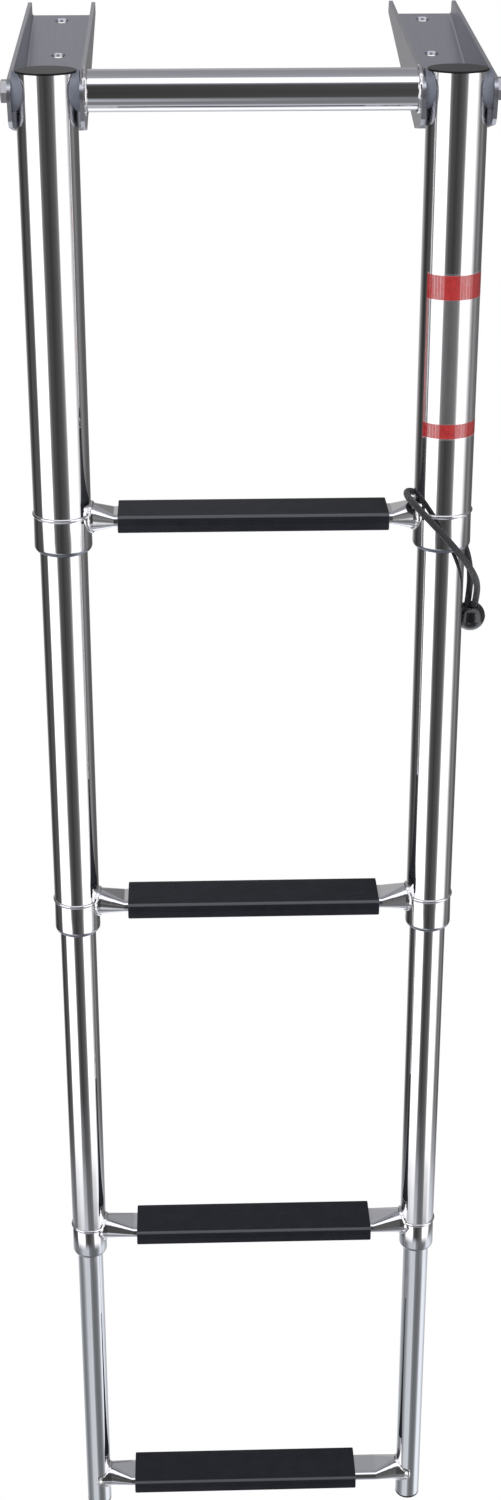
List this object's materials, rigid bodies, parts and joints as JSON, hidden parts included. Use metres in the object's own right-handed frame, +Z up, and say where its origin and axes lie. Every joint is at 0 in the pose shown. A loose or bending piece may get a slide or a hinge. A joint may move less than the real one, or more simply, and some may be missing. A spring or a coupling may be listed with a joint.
{
  "type": "boat boarding ladder",
  "caption": "Telescoping stainless boarding ladder with ribbed black treads that folds up over two channel brackets bolted on a platform.",
  "frame": {"origin": "centre of the four bolt holes, on the underside of the two channels", "axes": "+Z up, square to the platform; +X across the ladder; -Y away from the boat; the rails hang from the hinge and lean 13.3 degrees outwards"},
  "size_m": [0.3135, 0.4951, 1.1037],
  "materials": {
    "stainless": "mirror polished stainless tube",
    "satin_stainless": "satin stainless sheet",
    "weld": "polished weld bead",
    "bolt_steel": "plain stainless bolt",
    "grey_nylon": "grey nylon spacer",
    "white_nylon": "natural nylon",
    "black_plastic": "moulded black plastic",
    "tread_plastic": "ribbed black plastic",
    "label_film": "clear film with two red bands",
    "elastic_cord": "black woven elastic cord"
  },
  "bodies": {
    "bracket": {"left_channel": "satin_stainless", "right_channel": "satin_stainless", "top_crossbar": "stainless", "crossbar_end_plugs": "stainless", "top_crossbar_welds": "weld", "hinge_bolts": "bolt_steel"},
    "section_1": {"left_upper_tube": "stainless", "right_upper_tube": "stainless", "rail_top_plugs": "black_plastic", "pivot_sleeves": "stainless", "hinge_spacers": "grey_nylon", "section_1_collars": "stainless", "section_1_bushes": "white_nylon", "step_1_crossbar": "stainless", "step_1_welds": "weld", "step_1_tread": "tread_plastic", "rail_label": "label_film", "retaining_cord": "elastic_cord", "cord_ball": "black_plastic"},
    "section_2": {"section_2_left_tube": "stainless", "section_2_right_tube": "stainless", "section_2_guides": "white_nylon", "section_2_collars": "stainless", "section_2_bushes": "white_nylon", "step_2_crossbar": "stainless", "step_2_welds": "weld", "step_2_tread": "tread_plastic"},
    "section_3": {"section_3_left_tube": "stainless", "section_3_right_tube": "stainless", "section_3_guides": "white_nylon", "section_3_collars": "stainless", "section_3_bushes": "white_nylon", "step_3_crossbar": "stainless", "step_3_welds": "weld", "step_3_tread": "tread_plastic"},
    "section_4": {"section_4_left_tube": "stainless", "section_4_right_tube": "stainless", "section_4_guides": "white_nylon", "step_4_crossbar": "stainless", "step_4_welds": "weld", "step_4_tread": "tread_plastic", "foot_plugs": "black_plastic"}
  },
  "joints": [
    {"name": "fold", "type": "hinge", "parent": "bracket", "child": "section_1", "pos_m": [0, -0.182, 0.036], "axis": [-1, 0, 0], "range_deg": [0, 256]},
    {"name": "section_2_slide", "type": "slide", "parent": "section_1", "child": "section_2", "axis": [0, 0.23, 0.9732], "range_m": [0, 0.254]},
    {"name": "section_3_slide", "type": "slide", "parent": "section_2", "child": "section_3", "axis": [0, 0.23, 0.9732], "range_m": [0, 0.249]},
    {"name": "section_4_slide", "type": "slide", "parent": "section_3", "child": "section_4", "axis": [0, 0.23, 0.9732], "range_m": [0, 0.2115]}
  ]
}
